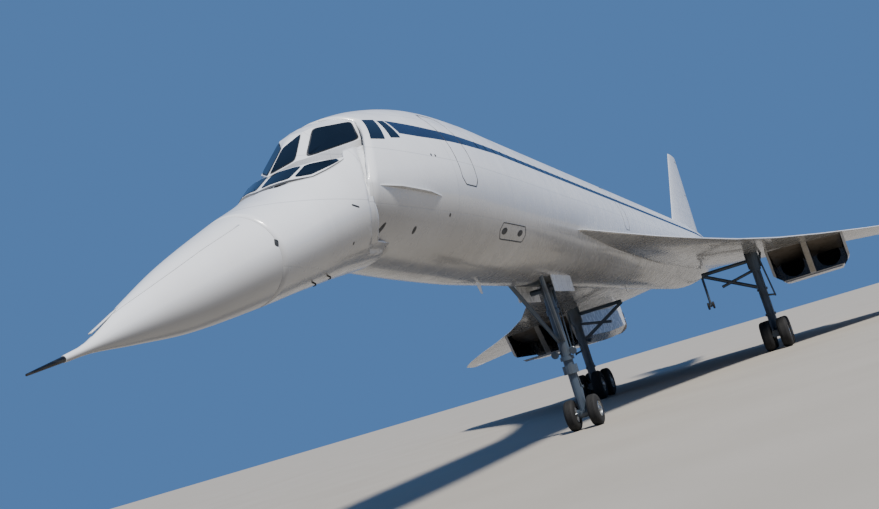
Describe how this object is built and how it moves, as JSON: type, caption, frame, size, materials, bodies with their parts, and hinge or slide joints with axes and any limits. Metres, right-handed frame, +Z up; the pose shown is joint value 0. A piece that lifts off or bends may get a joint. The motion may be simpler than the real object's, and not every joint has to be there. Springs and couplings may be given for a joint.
{
  "type": "supersonic delta-wing airliner, 1:2 scale model",
  "caption": "Slender delta-wing jet airliner parked on its gear, drooped nose and lowered visor, twin engine pods under each wing, single tall fin.",
  "frame": {"origin": "centre of the bounding box at the ground the tyres stand on", "axes": "+X to the aircraft's left, +Y aft along the fuselage, +Z up"},
  "size_m": [12.8, 30.7533, 6.1],
  "materials": {
    "dark": "satin",
    "gear": "satin",
    "glass": "gloss",
    "hot": "satin",
    "steel": "satin",
    "tyre": "matte",
    "white": "satin"
  },
  "bodies": {
    "airframe": {"forward_fuselage": "white", "flight_deck": "white", "centre_fuselage": "white", "rear_fuselage": "white", "fin": "white", "wing_left": "white", "wing_right": "white", "nacelle_left": "white", "nacelle_right": "white", "engine_outer_left": "dark", "engine_outer_right": "dark", "engine_inner_left": "dark", "engine_inner_right": "dark", "nose_gear_leg": "gear", "nose_gear_door_left": "white", "nose_gear_door_right": "white", "main_gear_leg_left": "gear", "main_gear_leg_right": "gear", "tail_gear_leg": "gear"},
    "droop_nose": {"nose_shell": "white", "radome": "white", "pitot_probe": "dark"},
    "visor": {"visor": "glass"},
    "elevon_inner_left": {"elevon_inner_left": "white"},
    "elevon_inner_right": {"elevon_inner_right": "white"},
    "elevon_middle_left": {"elevon_middle_left": "white"},
    "elevon_middle_right": {"elevon_middle_right": "white"},
    "elevon_outer_left": {"elevon_outer_left": "white"},
    "elevon_outer_right": {"elevon_outer_right": "white"},
    "rudder_lower": {"rudder_lower": "white"},
    "rudder_upper": {"rudder_upper": "white"},
    "bucket_outer_upper_left": {"bucket_outer_upper_left": "hot"},
    "bucket_outer_lower_left": {"bucket_outer_lower_left": "hot"},
    "bucket_outer_upper_right": {"bucket_outer_upper_right": "hot"},
    "bucket_outer_lower_right": {"bucket_outer_lower_right": "hot"},
    "bucket_inner_upper_left": {"bucket_inner_upper_left": "hot"},
    "bucket_inner_lower_left": {"bucket_inner_lower_left": "hot"},
    "bucket_inner_upper_right": {"bucket_inner_upper_right": "hot"},
    "bucket_inner_lower_right": {"bucket_inner_lower_right": "hot"},
    "nose_gear_steering": {"nose_gear_steering": "gear"},
    "nose_wheels": {"nose_gear_hubs": "steel", "nose_gear_tyre_a": "tyre", "nose_gear_tyre_b": "tyre"},
    "main_left_front_wheels": {"main_left_front_hubs": "steel", "main_left_front_tyre_a": "tyre", "main_left_front_tyre_b": "tyre"},
    "main_left_rear_wheels": {"main_left_rear_hubs": "steel", "main_left_rear_tyre_a": "tyre", "main_left_rear_tyre_b": "tyre"},
    "main_right_front_wheels": {"main_right_front_hubs": "steel", "main_right_front_tyre_a": "tyre", "main_right_front_tyre_b": "tyre"},
    "main_right_rear_wheels": {"main_right_rear_hubs": "steel", "main_right_rear_tyre_a": "tyre", "main_right_rear_tyre_b": "tyre"},
    "tail_wheels": {"tail_wheels": "tyre"}
  },
  "joints": [
    {"name": "nose_droop", "type": "hinge", "parent": "airframe", "child": "droop_nose", "pos_m": [0, -11.479, 2.175], "axis": [-1, 0, 0], "range_deg": [0, 12.5]},
    {"name": "visor_lift", "type": "hinge", "parent": "droop_nose", "child": "visor", "pos_m": [0, -12.8998, 2.34655], "axis": [1, 0, 0], "range_deg": [0, 9]},
    {"name": "elevon_inner_left_hinge", "type": "hinge", "parent": "airframe", "child": "elevon_inner_left", "pos_m": [1.45078, 7.721, 2.17631], "axis": [0.9935, 0, -0.1142], "range_deg": [-17, 19]},
    {"name": "elevon_inner_right_hinge", "type": "hinge", "parent": "airframe", "child": "elevon_inner_right", "pos_m": [-1.45078, 7.721, 2.17631], "axis": [0.9935, 0, 0.1142], "range_deg": [-17, 19]},
    {"name": "elevon_middle_left_hinge", "type": "hinge", "parent": "airframe", "child": "elevon_middle_left", "pos_m": [4.34669, 7.721, 1.84329], "axis": [0.9935, 0, -0.1142], "range_deg": [-17, 19]},
    {"name": "elevon_middle_right_hinge", "type": "hinge", "parent": "airframe", "child": "elevon_middle_right", "pos_m": [-4.34669, 7.721, 1.84329], "axis": [0.9935, 0, 0.1142], "range_deg": [-17, 19]},
    {"name": "elevon_outer_left_hinge", "type": "hinge", "parent": "airframe", "child": "elevon_outer_left", "pos_m": [5.52145, 7.721, 1.7082], "axis": [0.9935, 0, -0.1142], "range_deg": [-17, 19]},
    {"name": "elevon_outer_right_hinge", "type": "hinge", "parent": "airframe", "child": "elevon_outer_right", "pos_m": [-5.52145, 7.721, 1.7082], "axis": [0.9935, 0, 0.1142], "range_deg": [-17, 19]},
    {"name": "rudder_lower_hinge", "type": "hinge", "parent": "airframe", "child": "rudder_lower", "pos_m": [0, 12.42187, 4.2425], "axis": [0, 0.2953, 0.9554], "range_deg": [-30, 30]},
    {"name": "rudder_upper_hinge", "type": "hinge", "parent": "airframe", "child": "rudder_upper", "pos_m": [0, 12.78041, 5.4025], "axis": [0, 0.2953, 0.9554], "range_deg": [-30, 30]},
    {"name": "bucket_outer_upper_left_hinge", "type": "hinge", "parent": "airframe", "child": "bucket_outer_upper_left", "pos_m": [3.34, 9.421, 1.7], "axis": [-1, 0, 0], "range_deg": [0, 28]},
    {"name": "bucket_outer_lower_left_hinge", "type": "hinge", "parent": "airframe", "child": "bucket_outer_lower_left", "pos_m": [3.34, 9.421, 1.7], "axis": [1, 0, 0], "range_deg": [0, 28]},
    {"name": "bucket_outer_upper_right_hinge", "type": "hinge", "parent": "airframe", "child": "bucket_outer_upper_right", "pos_m": [-3.34, 9.421, 1.7], "axis": [-1, 0, 0], "range_deg": [0, 28]},
    {"name": "bucket_outer_lower_right_hinge", "type": "hinge", "parent": "airframe", "child": "bucket_outer_lower_right", "pos_m": [-3.34, 9.421, 1.7], "axis": [1, 0, 0], "range_deg": [0, 28]},
    {"name": "bucket_inner_upper_left_hinge", "type": "hinge", "parent": "airframe", "child": "bucket_inner_upper_left", "pos_m": [2.56, 9.421, 1.7], "axis": [-1, 0, 0], "range_deg": [0, 28]},
    {"name": "bucket_inner_lower_left_hinge", "type": "hinge", "parent": "airframe", "child": "bucket_inner_lower_left", "pos_m": [2.56, 9.421, 1.7], "axis": [1, 0, 0], "range_deg": [0, 28]},
    {"name": "bucket_inner_upper_right_hinge", "type": "hinge", "parent": "airframe", "child": "bucket_inner_upper_right", "pos_m": [-2.56, 9.421, 1.7], "axis": [-1, 0, 0], "range_deg": [0, 28]},
    {"name": "bucket_inner_lower_right_hinge", "type": "hinge", "parent": "airframe", "child": "bucket_inner_lower_right", "pos_m": [-2.56, 9.421, 1.7], "axis": [1, 0, 0], "range_deg": [0, 28]},
    {"name": "nose_gear_steer", "type": "hinge", "parent": "airframe", "child": "nose_gear_steering", "pos_m": [0, -6.254, 0.81], "axis": [0, 0, 1], "range_deg": [-60, 60]},
    {"name": "nose_wheels_spin", "type": "hinge", "parent": "nose_gear_steering", "child": "nose_wheels", "pos_m": [0, -6.254, 0.195], "axis": [1, 0, 0], "continuous": true},
    {"name": "main_left_front_spin", "type": "hinge", "parent": "airframe", "child": "main_left_front_wheels", "pos_m": [1.93, 2.4035, 0.2975], "axis": [1, 0, 0], "continuous": true},
    {"name": "main_left_rear_spin", "type": "hinge", "parent": "airframe", "child": "main_left_rear_wheels", "pos_m": [1.93, 3.2385, 0.2975], "axis": [1, 0, 0], "continuous": true},
    {"name": "main_right_front_spin", "type": "hinge", "parent": "airframe", "child": "main_right_front_wheels", "pos_m": [-1.93, 2.4035, 0.2975], "axis": [1, 0, 0], "continuous": true},
    {"name": "main_right_rear_spin", "type": "hinge", "parent": "airframe", "child": "main_right_rear_wheels", "pos_m": [-1.93, 3.2385, 0.2975], "axis": [1, 0, 0], "continuous": true},
    {"name": "tail_wheels_spin", "type": "hinge", "parent": "airframe", "child": "tail_wheels", "pos_m": [0, 10.546, 1.375], "axis": [1, 0, 0], "continuous": true}
  ],
  "couplings": [
    {"joint": "bucket_outer_lower_left_hinge", "follows": "bucket_outer_upper_left_hinge", "ratio": 1},
    {"joint": "bucket_outer_lower_right_hinge", "follows": "bucket_outer_upper_right_hinge", "ratio": 1},
    {"joint": "bucket_inner_lower_left_hinge", "follows": "bucket_inner_upper_left_hinge", "ratio": 1},
    {"joint": "bucket_inner_lower_right_hinge", "follows": "bucket_inner_upper_right_hinge", "ratio": 1}
  ]
}
